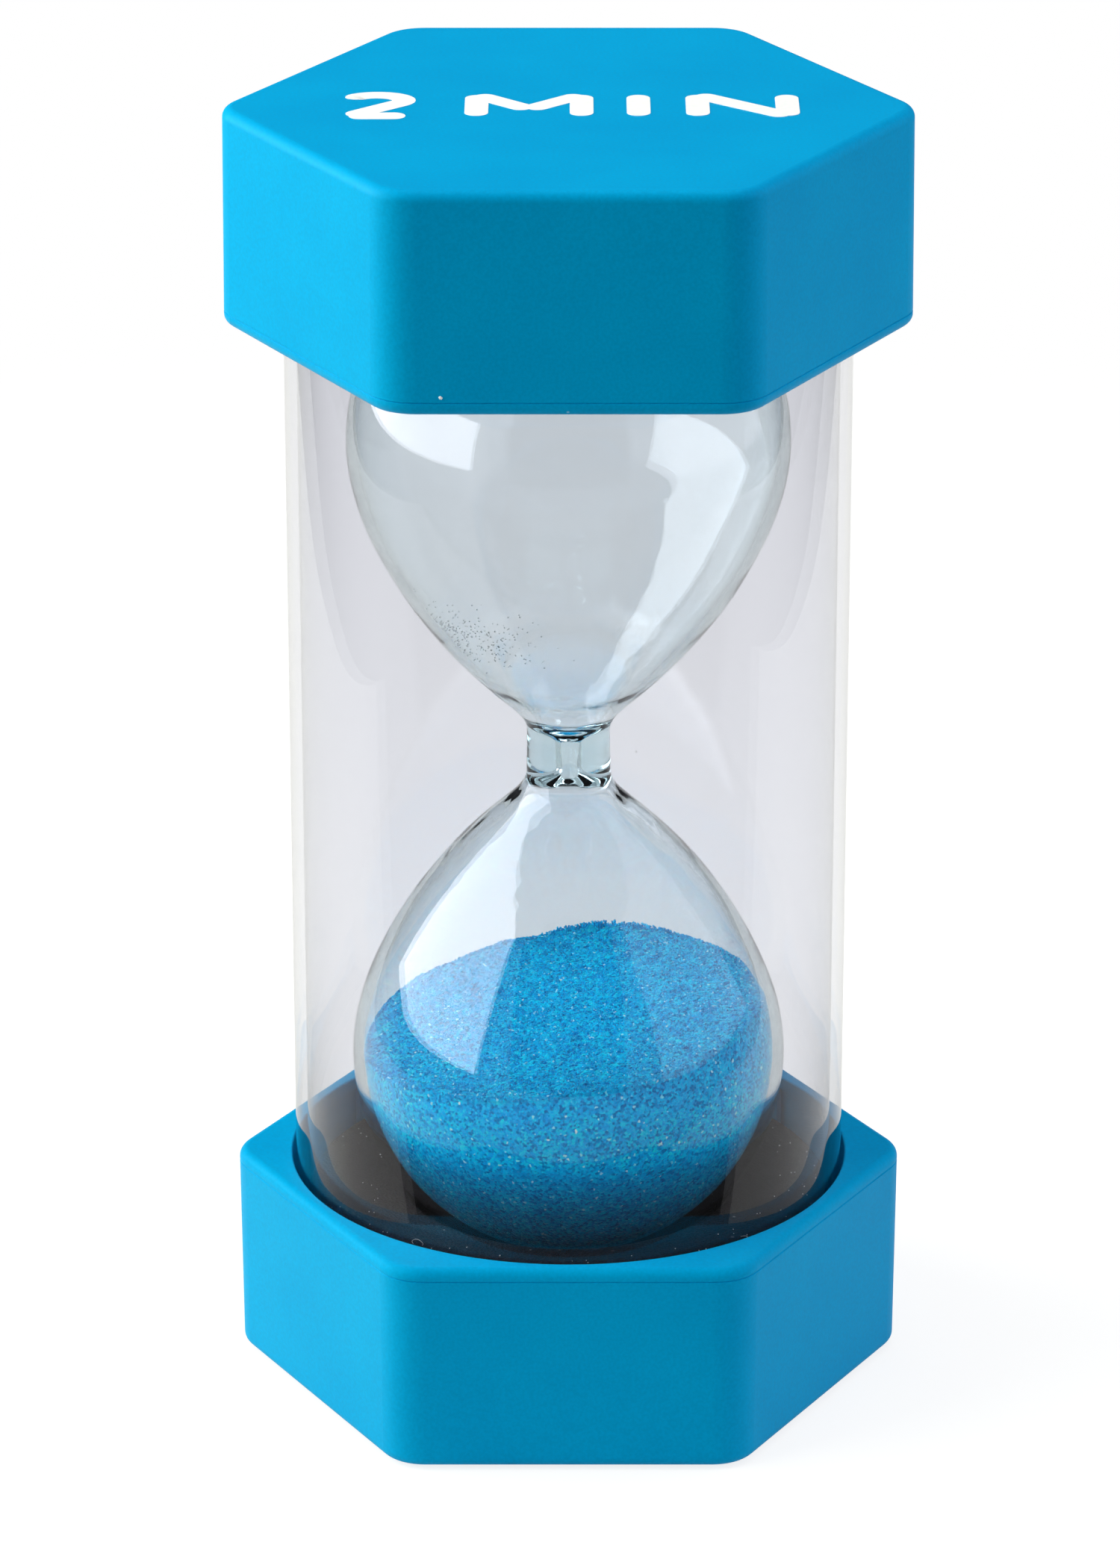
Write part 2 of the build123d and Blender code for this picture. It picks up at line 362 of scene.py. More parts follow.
# %% Barrel plastic
def barrel_plastic():
    """A see-through film whose mirror share is 0.04 + 0.96 (1 - cos)^5, with a few dust specks."""
    r = Recipe("clear barrel plastic")
    place = r.place()
    facing = r.add("LayerWeight", {"Blend": 0.5}).outputs["Facing"]
    power = r.add("Math", {0: facing, 1: 5.0}, operation="POWER").outputs[0]
    mirror = r.add("Math", {0: power, 1: 0.96, 2: 0.04}, operation="MULTIPLY_ADD").outputs[0]
    streaks = r.add("Mapping", {"Vector": place, "Scale": (1, 1, 0.02)}).outputs[0]
    flow = r.bump(r.noise(streaks, 260.0, 2.0), 0.25, 0.03 * MM)
    clear = r.add("BsdfTransparent", {"Color": (0.930, 0.933, 0.951, 1)})
    gloss = r.add("BsdfAnisotropic", {"Color": WHITE, "Roughness": 0.008, "Normal": flow})
    dusty = r.specks(place, 190.0, (0.028, 0.04), (0.9, 0.93), 0.5)
    lint = r.add("BsdfDiffuse", {"Color": (0.45, 0.45, 0.47, 1)})
    return r.finish(r.either(dusty, r.either(mirror, clear, gloss), lint))


# %% [markdown]
# ### Blown glass
#
# The vessel is lamp-worked soda-lime glass. Both walls bend light, which draws the dark rims and
# the rings at the neck. The green comes from absorption in its depth, so the thin bulbs look clear
# and the thick neck teal. Lamps have to reach the sand inside, so for shadow rays the surface is
# a clear film, which is the usual trick in place of caustics.


# %% Vessel glass
def vessel_glass():
    """Refracting glass that absorbs a little red along the way, clear to shadow rays."""
    r = Recipe("blown glass")
    glass = r.add("BsdfGlass", {"Color": (0.992, 0.998, 0.998, 1), "Roughness": 0.0, "IOR": 1.5})
    clear = r.add("BsdfTransparent", {"Color": (0.97, 0.98, 0.98, 1)})
    shadow = r.add("LightPath").outputs["Is Shadow Ray"]
    body = r.add("VolumeAbsorption", {"Color": (0.52, 0.79, 0.82, 1), "Density": 72.0})
    r.tree.links.new(body.outputs[0], r.output.inputs["Volume"])
    return r.finish(r.either(shadow, glass, clear))


# %% [markdown]
# ### Dyed sand
#
# The sand is crushed quartz, dyed blue. Every grain took the dye a little differently, and the
# flat breaks flash like tiny mirrors. Voronoi cells the size of a grain give each one its own
# colour, gloss and tilt. Light wanders a few millimetres through the clear stones before it comes
# out again, so the body lets it under its skin; a loose grain is too small for that. A ramp over the
# height paints light and shade into the colour of the body and the loose grains: painted shade makes
# the sand deeper low in the bulb, where the cap shades it, and painted light brightens a band above
# the cap's rim.


# %% Sand
def dyed_sand(name, pale, gloss, depth):
    """Grains as Voronoi cells 0.3 mm wide with their own colour and height; pale shifts the mix of
    colours towards the lightest grains, and depth is how much light wanders about under the skin."""
    r = Recipe(name)
    place = r.place()
    grains = r.add("TexVoronoi", {"Vector": place, "Scale": 3300.0})
    patches = r.noise(place, 420.0, 3.0)
    own = r.add("SeparateColor", {"Color": grains.outputs["Color"]})
    dye = r.ramp(own.outputs["Red"], [
        (0.0, linear(0, 124, 184)),
        (0.4, linear(0, 172, 234)),
        (0.9 - pale, linear(0, 206, 252)),
        (0.98 - pale, linear(20, 216, 255)),
        (1.0, linear(190, 240, 255)),
    ])
    mottle = r.ramp(patches, [(0.35, (0.86, 0.9, 0.94, 1)), (0.65, (1.1, 1.06, 1.04, 1))])
    # Painted shade and light by height: darker low in the bulb, where the cap shades the sand, and
    # brighter in a band about 36 to 41 mm up, where the side boxes light it.
    painted_shade_and_light = r.ramp(r.share(r.coordinate("Z"), 22 * MM, 46 * MM), [
        (0.0, (0.40, 0.40, 0.42, 1)),
        (0.25, (0.45, 0.45, 0.48, 1)),
        (0.46, (0.78, 0.80, 0.84, 1)),
        (0.58, (1.2, 1.18, 1.18, 1)),
        (0.78, (1.2, 1.18, 1.18, 1)),
        (0.92, WHITE),
    ])
    domes = {0: own.outputs["Green"], 1: grains.outputs["Distance"]}
    height = r.add("Math", domes, operation="SUBTRACT").outputs[0]
    return r.finish(r.add("BsdfPrincipled", {
        "Base Color": r.times(r.times(dye, mottle), painted_shade_and_light),
        "Roughness": r.spread(own.outputs["Blue"], gloss, 0.75),
        "Normal": r.bump(height, 0.9, 0.18 * MM),
        "Specular IOR Level": 0.1,
        "Specular Tint": (0.2, 0.8, 1.0, 1),
        "Subsurface Weight": depth,
        "Subsurface Radius": (0.03, 0.8, 1.0),
        "Subsurface Scale": 2.5 * MM,
    }))


# %% [markdown]
# ### Foam, rubber and ink
#
# The bulbs rest on dark, fine-celled foam rubber, which is matt and a little dusty. The stopper in
# the filling hole is pale rubber. The print on the top cap is thick white ink.


# %% Foam, rubber and ink
def foam_rubber():
    """Matt, nearly black, closed-cell foam: small dark pits between lighter cell walls, and dust."""
    r = Recipe("dark foam rubber")
    place = r.place()
    cells = r.add("TexVoronoi", {"Vector": place, "Scale": 2400.0}).outputs["Distance"]
    wear = r.noise(place, 130.0, 4.0)
    rubber = r.ramp(cells, [(0.0, linear(11, 9, 10)), (0.7, linear(34, 29, 32))])
    cast = r.ramp(wear, [(0.3, (0.85, 0.85, 0.87, 1)), (0.7, (1.15, 1.12, 1.1, 1))])
    dusty = r.specks(place, 520.0, (0.10, 0.14), (0.8, 0.9), 0.5)
    return r.finish(r.add("BsdfPrincipled", {
        "Base Color": r.mixed(dusty, r.times(rubber, cast), linear(150, 150, 155)),
        "Roughness": r.spread(wear, 0.85, 0.97),
        "Normal": r.bump(cells, 0.8, 0.2 * MM),
        "Specular IOR Level": 0.15,
    }))


def plain_coat(name, light, dark, roughness, grain):
    """A plain coloured surface whose tone and height vary with a fine noise of this grain."""
    r = Recipe(name)
    noise = r.noise(r.place(), grain, 3.0)
    return r.finish(r.add("BsdfPrincipled", {
        "Base Color": r.ramp(noise, [(0.3, dark), (0.7, light)]),
        "Roughness": r.spread(noise, roughness - 0.06, roughness + 0.06),
        "Normal": r.bump(noise, 0.3, 0.05 * MM),
    }))


CAP_PLASTIC = cap_plastic()
BARREL_PLASTIC = barrel_plastic()
VESSEL_GLASS = vessel_glass()
SAND = dyed_sand("dyed sand", 0.0, 0.3, 1.0)
LOOSE_SAND = dyed_sand("dyed sand, loose grains", 0.03, 0.12, 0.0)
FOAM = foam_rubber()
PLUG_RUBBER = plain_coat("pale rubber", linear(196, 190, 178), linear(176, 170, 160), 0.6, 900.0)
INK = plain_coat("white ink", linear(252, 252, 252), linear(240, 243, 246), 0.5, 1500.0)
LINT = plain_coat("lint", linear(214, 214, 216), linear(180, 180, 184), 0.8, 4000.0)
FINISHES = (CAP_PLASTIC, BARREL_PLASTIC, VESSEL_GLASS, SAND, LOOSE_SAND, FOAM, PLUG_RUBBER, INK, LINT)
print("finishes:", ", ".join(finish.name for finish in FINISHES))

# %% [markdown]
# ## Caps
#
# The cups and rim plates of the two caps are hard mouldings with plain flats and rounds. The
# mechanical model already holds their edges, seam lines, ribs and collars, so they stay as they
# are and get the satin plastic.

# %% Finish the caps and the stopper
CAP_NODES = ("top_cap_shell", "top_rim_plate", "bottom_cap_shell", "bottom_rim_plate")
for name in (*CAP_NODES, "filler_plug"):
    finish = CAP_PLASTIC if name in CAP_NODES else PLUG_RUBBER
    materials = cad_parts[name].data.materials
    materials.clear()
    materials.append(finish)
    print(f"{name} gets {finish.name}")

# %% [markdown]
# ## Barrel
#
# The barrel is sawn from extruded tube. The die leaves long, faint ridges, which wave its
# reflections sideways but never up and down. So the radius gets a few ripples round the axis that
# stay the same all the way up, and both ends get a small round where the saw cut was dressed.


# %% Barrel
BARREL_COLUMNS = 288
SAW_ROUND = 0.2 * MM
DIE_RIDGES = ((0.012 * MM, 5, 1.0), (0.008 * MM, 13, 0.0), (0.004 * MM, 31, 2.0))


def round_corner(radius, height, size, start, steps=5):
    """A quarter circle of the profile about (radius, height), from the angle start, in degrees."""
    angle = np.radians(np.linspace(start, start + 90, steps))
    return radius + size * np.cos(angle), height + size * np.sin(angle)


def tube_profile(inner, outer, low, high, size, straight):
    """A closed loop (radius, height) round the section of a tube, with its four corners rounded and
    this many points along each straight side."""
    corners = [
        round_corner(outer - size, low + size, size, -90),
        round_corner(outer - size, high - size, size, 0),
        round_corner(inner + size, high - size, size, 90),
        round_corner(inner + size, low + size, size, 180),
    ]
    radii, heights = [], []
    for (r_one, h_one), (r_two, h_two) in zip(corners, corners[1:] + corners[:1]):
        share = np.linspace(0, 1, straight + 2)[1:-1]
        radii += [r_one, r_one[-1] + share * (r_two[0] - r_one[-1])]
        heights += [h_one, h_one[-1] + share * (h_two[0] - h_one[-1])]
    return np.concatenate(radii), np.concatenate(heights)


def extruded_tube():
    """Tube profile turned round the axis, plus die ridges: the sum of cosines of whole numbers
    times the angle, so that the seam closes. The ridges take up to 0.04 mm off the outside."""
    bore = BARREL_RADIUS - BARREL_WALL
    radii, heights = tube_profile(bore, BARREL_RADIUS, barrel_low.z, barrel_high.z, SAW_ROUND, 30)
    angle = full_turn(BARREL_COLUMNS)
    ridges = sum(high * np.cos(times * angle + start) for high, times, start in DIE_RIDGES)
    return skin(turned(radii[:, None] - 0.02 * MM + ridges, heights, BARREL_COLUMNS), loop=True)


barrel = new_piece("barrel_tube", extruded_tube(), BARREL_PLASTIC)
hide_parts("barrel")

# %% [markdown]
# ## Glass vessel
#
# The vessel is blown from one piece of tube on a glass lathe. Each half of its section is a
# shoulder, a smooth curve from the thick neck out to the widest ring, and then a quarter circle
# to the tip. The curve is a cubic spline with upright ends, worked out from a handful of points.
# The lathe and the flame leave shallow rings and waves in the wall, a few hundredths of a
# millimetre deep, and they give the reflections their uneven edges.

# %% Section of the vessel
NECK_RADIUS, NECK_HALF = 5.15 * MM, 2.6 * MM
BORE_RADIUS, BORE_HALF = 1.0 * MM, 1.6 * MM
OUTER_SHOULDER = ((0.118, 0.134), (0.305, 0.452), (0.599, 0.797))
INNER_SHOULDER = (
    (0.052, 0.088),
    (0.130, 0.199),
    (0.217, 0.337),
    (0.341, 0.523),
    (0.503, 0.714),
    (0.759, 0.923),
)
BULB_CENTRE = (UPPER_CENTRE - LOWER_CENTRE) / 2
TIP_ANGLE = 54


def upright_spline(knots, count):
    """A smooth cubic curve through the knots, upright at both ends. Between two knots it's the
    Hermite cubic, and the slopes at the knots come from one linear system that makes the
    curvature run on."""
    knots = np.array(knots)
    step = np.linalg.norm(np.diff(knots, axis=0), axis=1)
    size = len(knots)
    system, wanted = np.eye(size), np.zeros((size, 2))
    wanted[0] = wanted[-1] = (0, 1)
    for i in range(1, size - 1):
        system[i, i - 1:i + 2] = step[i], 2 * (step[i - 1] + step[i]), step[i - 1]
        before, after = (knots[i] - knots[i - 1]) / step[i - 1], (knots[i + 1] - knots[i]) / step[i]
        wanted[i] = 3 * (step[i] * before + step[i - 1] * after)
    slopes = np.linalg.solve(system, wanted)
    along = np.concatenate([[0], np.cumsum(step)])
    at = np.linspace(0, along[-1], count)
    i = np.clip(np.searchsorted(along, at, side="right") - 1, 0, size - 2)
    t = ((at - along[i]) / step[i])[:, None]
    h = step[i][:, None]
    return ((2 * t**3 - 3 * t**2 + 1) * knots[i] + (t**3 - 2 * t**2 + t) * h * slopes[i]
            + (3 * t**2 - 2 * t**3) * knots[i + 1] + (t**3 - t**2) * h * slopes[i + 1])


def half_section(start_radius, start_height, end_radius, shares, neck, shoulder):
    """Points (radius, distance from the neck's middle): straight neck, shoulder, quarter circle, with
    neck and shoulder as the numbers of points. The circle's points lie close together at first, and
    wider apart at the hidden tip."""
    reach, rise = end_radius - start_radius, BULB_CENTRE - start_height
    between = [(start_radius + out * reach, start_height + up * rise) for up, out in shares]
    curve = upright_spline([(start_radius, start_height), *between, (end_radius, BULB_CENTRE)], shoulder)
    up_neck = np.linspace(0, start_height, neck, endpoint=False)
    straight = np.stack([np.full(neck, start_radius), up_neck], -1)
    angle = np.radians(np.concatenate([np.arange(1.5, TIP_ANGLE, 1.5), np.arange(TIP_ANGLE, 90, 6)]))
    cap = np.stack([end_radius * np.cos(angle), BULB_CENTRE + end_radius * np.sin(angle)], -1)
    return np.concatenate([straight, curve, cap])


OUTER = half_section(NECK_RADIUS, NECK_HALF, BULB_RADIUS, OUTER_SHOULDER, 6, 144)
INNER = half_section(BORE_RADIUS, BORE_HALF, INSIDE_RADIUS, INNER_SHOULDER, 4, 146)
print("outer half section:", len(OUTER), "points; inner:", len(INNER))


# %% Vessel
VESSEL_COLUMNS = 128
MARK_DEPTH, MARK_GIRTH = 0.06 * MM, 14 * MM


def lathe_marks(rings, depth, seed):
    """Moves each ring point out or in by two noises, both flattened into bands round the axis: sharp
    rings close to the neck, and wider waves that are gone by the widest ring. They depend only on
    the angle and the height, so both walls move together and the glass stays as thick as it was."""
    away = rings * (1, 1, 0)
    away = away / np.linalg.norm(away, axis=-1, keepdims=True)
    spot = away * MARK_GIRTH + rings * (0, 0, 1)
    from_neck = np.abs(rings[..., 2] - NECK_MIDDLE) / BULB_CENTRE
    near = np.exp(-(((from_neck - 0.26) / 0.17) ** 2))
    on_shoulder = 1 / (1 + np.exp((from_neck - 0.82) * 18))
    sharp = 0.5 * near * lattice_noise(spot * (0.55, 0.55, 1), 1.3 * MM, seed)
    waves = 1.5 * on_shoulder * lattice_noise(spot * (0.7, 0.7, 1), 4.6 * MM, seed + 1)
    return rings + away * depth * (sharp + waves)[..., None]


def up_to_hole(section, radius):
    """The upper half section without what lies inside the filling hole, ended on the hole's edge."""
    in_hole = (section[:, 1] > BULB_CENTRE) & (section[:, 0] < FILLER_RADIUS + 0.1 * MM)
    edge = (FILLER_RADIUS, BULB_CENTRE + math.sqrt(radius**2 - FILLER_RADIUS**2))
    return np.concatenate([section[~in_hole], [edge]])


def blown_vessel():
    """Outer section from the lower tip to the filling hole, then the inner section back down, all
    turned round the axis, with lathe marks on both walls."""
    outside = np.concatenate([OUTER[::-1] * (1, -1), up_to_hole(OUTER[1:], BULB_RADIUS)])
    inside = np.concatenate([up_to_hole(INNER, INSIDE_RADIUS)[::-1], INNER[1:] * (1, -1)])
    section = np.concatenate([outside, inside])
    rings = turned(section[:, 0], NECK_MIDDLE + section[:, 1], VESSEL_COLUMNS)
    outer_tip, inner_tip = LOWER_CENTRE - BULB_RADIUS, LOWER_CENTRE - INSIDE_RADIUS
    return skin(lathe_marks(rings, MARK_DEPTH, 11), first=(0, 0, outer_tip), last=(0, 0, inner_tip))


vessel = new_piece("blown_vessel", blown_vessel(), VESSEL_GLASS)
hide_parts("glass_vessel")

# %% [markdown]
# ## Sand
#
# The sand fills the lower bulb to a slope that was left when the timer was tapped and set down.
# Its skin follows the glass from the tip up to the edge of the sand, and then runs over the
# surface to the middle. Noise the size of a grain roughens it all. On it and against the glass
# lie twenty thousand loose grains: small stones of twenty faces, each with its own size and turn.

# %% Body of the sand
SAND_LEVEL, SAND_SLOPE_X, SAND_SLOPE_Y = 45.2 * MM, 0.13, 0.03
SAND_GAP = 0.1 * MM
SAND_COLUMNS, WALL_ROWS, TOP_ROWS, EDGE_ROWS = 400, 130, 105, 4
GRAIN = 0.30 * MM
wall_radius, wall_height = INNER[:, 0], NECK_MIDDLE - INNER[:, 1]


def glass_radius_at(height):
    """Radius of the inner wall of the lower bulb at this height, read off its section."""
    order = np.argsort(wall_height)
    return np.interp(height, wall_height[order], wall_radius[order])


def surface_height(x, y):
    """Height of the sand: a tilted plane with soft dips of three sizes, as tapping leaves it."""
    spot = np.stack(np.broadcast_arrays(x, y, 0.0 * x), -1)
    dips = 0.26 * lattice_noise(spot, 11 * MM, 31) + 0.12 * lattice_noise(spot, 5 * MM, 37)
    dips = dips + 0.09 * lattice_noise(spot, 1.0 * MM, 39)
    return SAND_LEVEL + SAND_SLOPE_X * x + SAND_SLOPE_Y * y + dips * MM


def edge_of_sand(angle):
    """Where the surface meets the glass: radius and height are corrected in turn until they agree."""
    radius = np.full(angle.shape, INSIDE_RADIUS - SAND_GAP)
    for _ in range(12):
        height = surface_height(radius * np.cos(angle), radius * np.sin(angle))
        radius = glass_radius_at(height) - SAND_GAP
    return radius, height


def sand_body():
    """Wall rings from the tip to the edge of the sand, then surface rings in to the middle. A ring's
    share of the wall's height is 1 - cos, so that the rings lie evenly on the round bulb."""
    angle = full_turn(SAND_COLUMNS)
    edge_radius, edge_height = edge_of_sand(angle)
    inside = INSIDE_RADIUS - SAND_GAP
    tip = LOWER_CENTRE - inside
    share = 1 - np.cos(np.linspace(0, np.pi / 2, WALL_ROWS + 1)[1:, None])
    height = tip + (edge_height - tip) * share
    round_part = np.sqrt(np.maximum(inside**2 - (LOWER_CENTRE - height) ** 2, 0))
    radius = np.where(height < LOWER_CENTRE, round_part, glass_radius_at(height) - SAND_GAP)
    wall = polar(radius, angle, height)
    roughness = 0.5 + 0.5 * lattice_noise(wall, GRAIN, 41)
    wall = wall + polar(-1, angle, 0) * (0.15 * MM * roughness)[..., None]
    across = np.linspace(1, 0, TOP_ROWS + 1)[1:-1, None]
    x, y = across * edge_radius * np.cos(angle), across * edge_radius * np.sin(angle)
    top = np.stack([x, y, surface_height(x, y)], -1)
    grainy, lumpy = lattice_noise(top, GRAIN, 43), lattice_noise(top, 0.9 * MM, 47)
    top[..., 2] += (0.16 * grainy + 0.10 * lumpy) * MM
    wall[-EDGE_ROWS:, :, 2] += 0.10 * MM * lattice_noise(wall[-EDGE_ROWS:], 0.35 * MM, 49)
    middle = (0, 0, float(surface_height(0.0, 0.0)))
    return skin(np.concatenate([wall, top]), first=(0, 0, tip), last=middle)


sand = new_piece("sand_body", sand_body(), SAND)
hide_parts("sand")

# %% Loose grains
GOLDEN = (1 + math.sqrt(5)) / 2
STONE_POINTS = np.array([
    (-1, GOLDEN, 0), (1, GOLDEN, 0), (-1, -GOLDEN, 0), (1, -GOLDEN, 0),
    (0, -1, GOLDEN), (0, 1, GOLDEN), (0, -1, -GOLDEN), (0, 1, -GOLDEN),
    (GOLDEN, 0, -1), (GOLDEN, 0, 1), (-GOLDEN, 0, -1), (-GOLDEN, 0, 1),
]) / math.hypot(1, GOLDEN)
STONE_FACES = np.array([
    (0, 11, 5), (0, 5, 1), (0, 1, 7), (0, 7, 10), (0, 10, 11),
    (1, 5, 9), (5, 11, 4), (11, 10, 2), (10, 7, 6), (7, 1, 8),
    (3, 9, 4), (3, 4, 2), (3, 2, 6), (3, 6, 8), (3, 8, 9),
    (4, 9, 5), (2, 4, 11), (6, 2, 10), (8, 6, 7), (9, 8, 1),
])


def stones(centres, size, seed):
    """One small stone per centre: a twenty-faced ball with uneven corners, stretched and turned
    at random. The turn is the rotation of a random unit quaternion."""
    random = np.random.default_rng(seed)
    count = len(centres)
    shape = STONE_POINTS * random.uniform(0.75, 1.15, (count, 12, 1))
    shape = shape * random.uniform(0.7, 1.2, (count, 1, 3))
    quaternion = random.normal(size=(4, count))
    w, x, y, z = quaternion / np.linalg.norm(quaternion, axis=0)
    turn = np.stack([
        np.stack([1 - 2 * (y * y + z * z), 2 * (x * y - z * w), 2 * (x * z + y * w)], -1),
        np.stack([2 * (x * y + z * w), 1 - 2 * (x * x + z * z), 2 * (y * z - x * w)], -1),
        np.stack([2 * (x * z - y * w), 2 * (y * z + x * w), 1 - 2 * (x * x + y * y)], -1),
    ], 1)
    sizes = size / 2 * random.uniform(0.65, 1.25, (count, 1, 1))
    points = centres[:, None] + np.einsum("nij,nkj->nki", turn, shape * sizes)
    faces = STONE_FACES[None] + 12 * np.arange(count)[:, None, None]
    return points.reshape(-1, 3), np.zeros((0, 4), int), faces.reshape(-1, 3)


def scatter_on_surface(count, seed):
    """Centres spread evenly over the sand's surface: the root of an even share gives the radius."""
    random = np.random.default_rng(seed)
    angle = random.uniform(0, 2 * np.pi, count)
    edge_radius, _ = edge_of_sand(angle)
    radius = np.sqrt(random.uniform(0, 1, count)) * (edge_radius - 0.15 * MM)
    surface = surface_height(radius * np.cos(angle), radius * np.sin(angle))
    return polar(radius, angle, surface + random.uniform(0.0, 0.12, count) * MM)


def scatter_along_edge(count, seed):
    """Centres along the line where sand meets glass, piled a little up the wall here and there."""
    random = np.random.default_rng(seed)
    angle = random.uniform(0, 2 * np.pi, count)
    _, edge_height = edge_of_sand(angle)
    along_edge = angle[:, None] * (6 * MM, 0, 0)
    piled = np.maximum(lattice_noise(along_edge, 1.6 * MM, 53), 0)
    height = edge_height + random.uniform(0, 1, count) ** 2 * (0.25 + 0.4 * piled) * MM
    radius = glass_radius_at(height) - random.uniform(0.22, 0.45, count) * MM
    return polar(radius, angle, height)


def scatter_on_wall(count, low, high, seed):
    """Centres against the inside of the glass between two heights of the lower bulb."""
    random = np.random.default_rng(seed)
    angle = random.uniform(0, 2 * np.pi, count)
    height = random.uniform(low, high, count)
    height = np.minimum(height, edge_of_sand(angle)[1])
    radius = glass_radius_at(height) - random.uniform(0.22, 0.34, count) * MM
    return polar(radius, angle, height)


for name, centres, seed in (
    ("sand_grains_on_top", scatter_on_surface(9000, 61), 62),
    ("sand_grains_at_edge", scatter_along_edge(3600, 63), 64),
    ("sand_grains_at_wall", scatter_on_wall(7500, 26 * MM, 50 * MM, 65), 66),
):
    new_piece(name, stones(centres, GRAIN, seed), LOOSE_SAND, smooth=False)

# %% [markdown]
# ## Foam
#
# Each cap holds a thick foam pad under the tip of a bulb and a foam ring round it. The ring is
# the dark floor that shows inside the barrel. It's punched from sheet, so its edges are a little
# rounded and its face isn't quite flat.


# %% Foam rings and pads
RING_ROUND, PAD_ROUND = 0.7 * MM, 0.6 * MM
RING_COLUMNS, PAD_COLUMNS, PAD_ROWS = 200, 120, 22
PUNCH_CLEARANCE = 0.25 * MM


def foam_ring(inner, outer, low, high, seed):
    """Tube profile with big rounds, turned, with noise of a tenth of a millimetre on its faces."""
    radii, heights = tube_profile(inner, outer, low, high, RING_ROUND, 14)
    rings = turned(radii, heights, RING_COLUMNS)
    swell = 0.10 * lattice_noise(rings, 6 * MM, seed) + 0.03 * lattice_noise(rings, 1.2 * MM, seed + 1)
    middle = (low + high) / 2
    inside = 1 - np.abs(rings[..., 2] - middle) / ((high - low) / 2)
    rings[..., 2] += np.sign(rings[..., 2] - middle) * (swell - 0.12) * MM * (1 - np.clip(inside, 0, 1))
    return skin(rings, loop=True)


def foam_pad(radius, low, high, seed):
    """A disc with rounded edges: rings run out over one face, round the side and back."""
    flat = radius - PAD_ROUND
    across = np.linspace(0.04, 1, PAD_ROWS) * flat
    r_low, h_low = round_corner(flat, low + PAD_ROUND, PAD_ROUND, -90)
    r_high, h_high = round_corner(flat, high - PAD_ROUND, PAD_ROUND, 0)
    face = np.ones(PAD_ROWS - 1)
    radii = np.concatenate([across[:-1], r_low, r_high, across[-2::-1]])
    heights = np.concatenate([low * face, h_low, h_high, high * face])
    rings = turned(radii, heights, PAD_COLUMNS)
    top = rings[..., 2] > (low + high) / 2
    sink = (0.06 + 0.05 * lattice_noise(rings, 5 * MM, seed)) * MM
    rings[..., 2] += np.where(top, -1, 1) * sink
    return skin(rings, first=(0, 0, low + 0.06 * MM), last=(0, 0, high - 0.06 * MM))


hole = math.sqrt(BULB_RADIUS**2 - (LOWER_CENTRE - foam_high.z) ** 2) + PUNCH_CLEARANCE
for seed, end in enumerate(("bottom", "top")):
    low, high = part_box(f"{end}_foam_ring")
    ring = new_piece(f"{end}_foam_collar", foam_ring(hole, high.x, low.z, high.z, 71 + seed), FOAM)
    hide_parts(f"{end}_foam_ring")
    low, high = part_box(f"{end}_foam_pad")
    pad = new_piece(f"{end}_foam_cushion", foam_pad(high.x, low.z, high.z, 81 + seed), FOAM)
    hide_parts(f"{end}_foam_pad")

# %% [markdown]
# ## Dust and lint
#
# A used timer is never quite clean: fine dust clings to the inside of the upper bulb, and a few
# specks and hairs lie on the foam. They're tiny, so the stones of the sand serve again, in pale
# grey, and a hair is a thin tube carried along a bent line. The top cap has one small white nick
# above its lower edge.


# %% Dust and lint
HAIR_THICKNESS, HAIR_STEPS = 0.05 * MM, 26
FOAM_FACE = foam_high.z + 0.02 * MM
CAP_NICK = np.array([(-14.7 * MM, cap_low.y + 0.05 * MM, cap_low.z + 0.7 * MM)])


def dust_in_upper_bulb(count, seed):
    """Specks on the inside of the upper bulb, in a cloud about one spot of the lower left shoulder."""
    random = np.random.default_rng(seed)
    angle = random.normal(math.radians(231), 0.24, count)
    above_neck = random.normal(20.5 * MM, 2.2 * MM, count)
    order = np.argsort(INNER[:, 1])
    radius = np.interp(above_neck, INNER[order, 1], INNER[order, 0]) - 0.06 * MM
    return polar(radius, angle, NECK_MIDDLE + above_neck)


def specks_on_foam(count, seed):
    """Specks on the face of the lower foam ring, spread evenly over its area."""
    random = np.random.default_rng(seed)
    angle = random.uniform(0, 2 * np.pi, count)
    radius = np.sqrt(random.uniform(0.55, 1, count)) * (BARREL_RADIUS - BARREL_WALL - 0.5 * MM)
    return polar(radius, angle, foam_high.z - 0.04 * MM)


def hair(start, heading, length, bend):
    """A thin tube along a line whose heading turns steadily by bend, lying on the foam: its section
    is a ring of six points across the line."""
    steps = np.linspace(0, 1, HAIR_STEPS)
    angle = heading + bend * steps + 0.5 * np.sin(9 * steps)
    ahead = np.stack([np.cos(angle), np.sin(angle), 0.12 * np.sin(5 * steps)], -1)
    line = start + np.cumsum(ahead, axis=0) * length / HAIR_STEPS
    side = np.stack([-ahead[:, 1], ahead[:, 0], 0 * steps], -1)
    turn = full_turn(6)[:, None]
    across = side[:, None] * np.cos(turn) + np.array([0, 0, 1]) * np.sin(turn)
    return skin(line[:, None] + HAIR_THICKNESS / 2 * across, first=line[0], last=line[-1])


